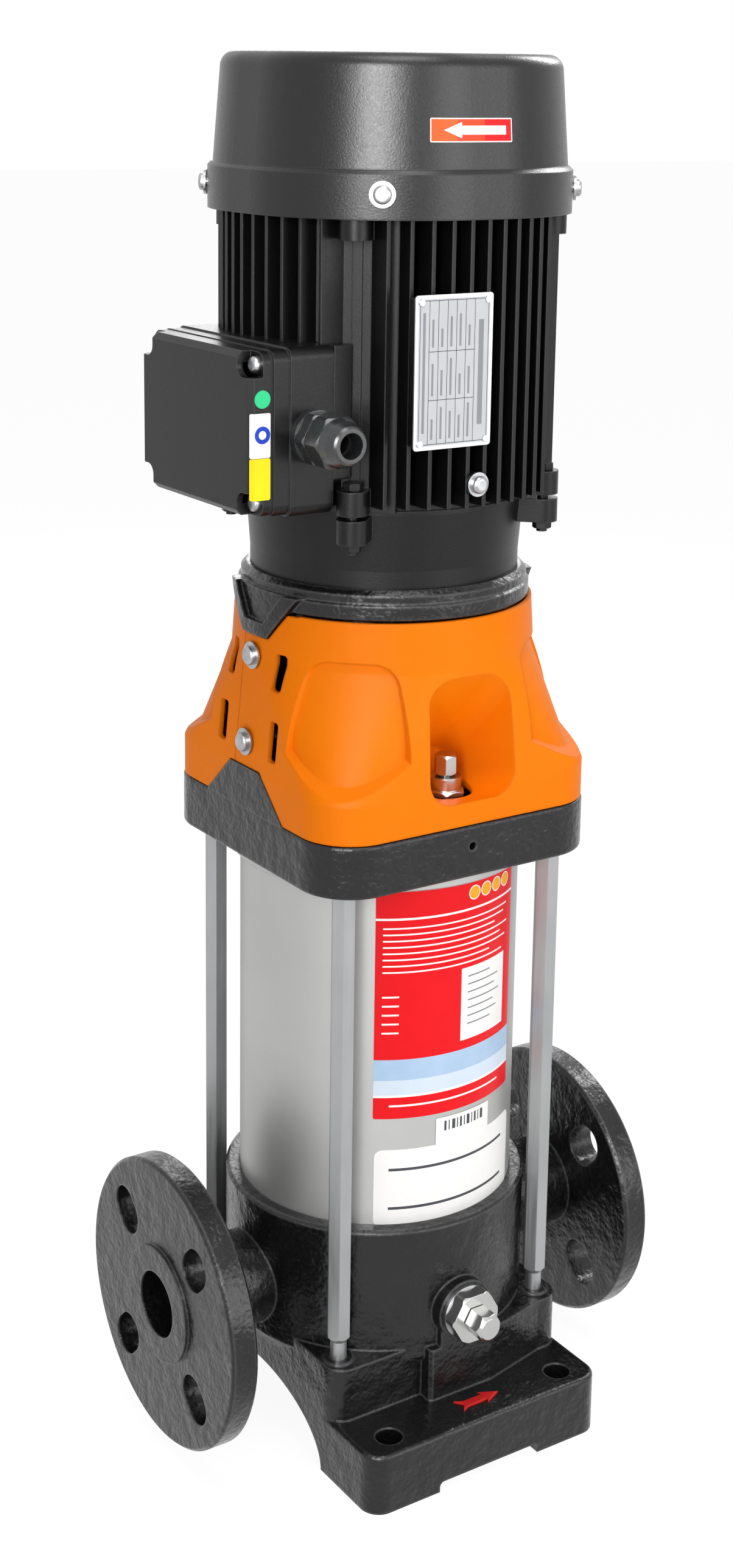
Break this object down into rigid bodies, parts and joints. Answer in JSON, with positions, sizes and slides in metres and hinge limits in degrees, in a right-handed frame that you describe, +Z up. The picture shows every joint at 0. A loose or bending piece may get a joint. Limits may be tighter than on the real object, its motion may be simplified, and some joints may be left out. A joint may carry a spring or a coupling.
{
  "type": "vertical multistage pump",
  "caption": "Vertical in-line multistage centrifugal pump with flanged ports, steel sleeve between stay bolts, orange coupling guards and a finned electric motor on top.",
  "frame": {"origin": "on the vertical pump axis, at the level the two feet stand on", "axes": "+Z up along the shaft, +X along the flow from inlet port to outlet port, -Y towards the drain plug, vent and nameplate"},
  "size_m": [0.25, 0.206, 0.665],
  "materials": {
    "black_cast_iron": "glossy black paint over rough casting",
    "zinc_steel": "bright zinc plated",
    "stainless": "machined stainless steel",
    "sleeve_steel": "satin stainless steel",
    "seal_rubber": "matte",
    "bearing_bronze": "machined",
    "seal_carbon": "lapped carbon",
    "orange_guard": "satin orange powder coat",
    "coupling_steel": "machined",
    "black_motor": "satin black paint over die cast aluminium",
    "black_bolt": "black",
    "black_cowl": "textured black powder coat",
    "fan_plastic": "matte",
    "core_steel": "laminated",
    "winding_copper": "varnished copper",
    "nameplate_metal": "satin",
    "black_box": "satin black",
    "board_plastic": "moulded",
    "gland_plastic": "semi-gloss nylon"
  },
  "bodies": {
    "pump_casing": {"pump_base": "black_cast_iron", "drain_washer": "zinc_steel", "drain_plug": "stainless", "sleeve_seals": "seal_rubber", "outer_sleeve": "sleeve_steel", "head_cover_plate": "stainless", "stay_bolts": "zinc_steel", "stay_nuts": "zinc_steel", "stay_washers": "zinc_steel", "suction_guide": "stainless", "lower_bush": "bearing_bronze", "stage_chambers": "stainless", "outlet_spider": "stainless", "seal_gland": "stainless", "seal_seat": "seal_carbon", "pump_head": "black_cast_iron", "vent_plug": "stainless", "guard_front": "orange_guard", "guard_rear": "orange_guard", "guard_washers": "zinc_steel", "guard_screws": "zinc_steel", "drive_end_shield": "black_motor", "motor_frame": "black_motor", "tie_bolts": "black_bolt", "motor_flange_bolts": "zinc_steel", "rear_end_shield": "black_motor", "fan_cowl": "black_cowl", "cowl_screws": "zinc_steel", "motor_bearings": "stainless", "stator_core": "core_steel", "stator_windings": "winding_copper", "nameplate": "nameplate_metal", "nameplate_rivets": "nameplate_metal", "earth_screw": "zinc_steel", "terminal_box": "black_box", "terminal_gasket": "seal_rubber", "terminal_cover": "black_box", "terminal_cover_screws": "zinc_steel", "terminal_board": "board_plastic", "gland_body": "gland_plastic", "gland_seal": "seal_rubber"},
    "rotor": {"motor_shaft": "stainless", "rotor_core": "core_steel", "fan": "fan_plastic", "coupling_half_front": "coupling_steel", "coupling_half_rear": "coupling_steel", "coupling_bolts": "zinc_steel", "coupling_pin": "stainless", "pump_shaft": "stainless", "impellers": "stainless", "seal_face": "seal_carbon", "seal_driver": "stainless"},
    "vent_screw": {"vent_screw": "stainless"},
    "drain_stem": {"drain_stem": "stainless"},
    "gland_nut": {"gland_nut": "gland_plastic"}
  },
  "joints": [
    {"name": "shaft_spin", "type": "hinge", "parent": "pump_casing", "child": "rotor", "pos_m": [0, 0, 0.388], "axis": [0, 0, 1], "continuous": true},
    {"name": "vent_screw_turn", "type": "hinge", "parent": "pump_casing", "child": "vent_screw", "pos_m": [0, -0.054, 0.34], "axis": [0, 0, 1], "range_deg": [0, 720]},
    {"name": "drain_stem_turn", "type": "hinge", "parent": "pump_casing", "child": "drain_stem", "pos_m": [0, -0.095, 0.075], "axis": [0, -1, 0], "range_deg": [0, 720]},
    {"name": "gland_nut_turn", "type": "hinge", "parent": "pump_casing", "child": "gland_nut", "pos_m": [-0.0715, -0.07, 0.502], "axis": [0, -1, 0], "range_deg": [0, 1080]}
  ]
}
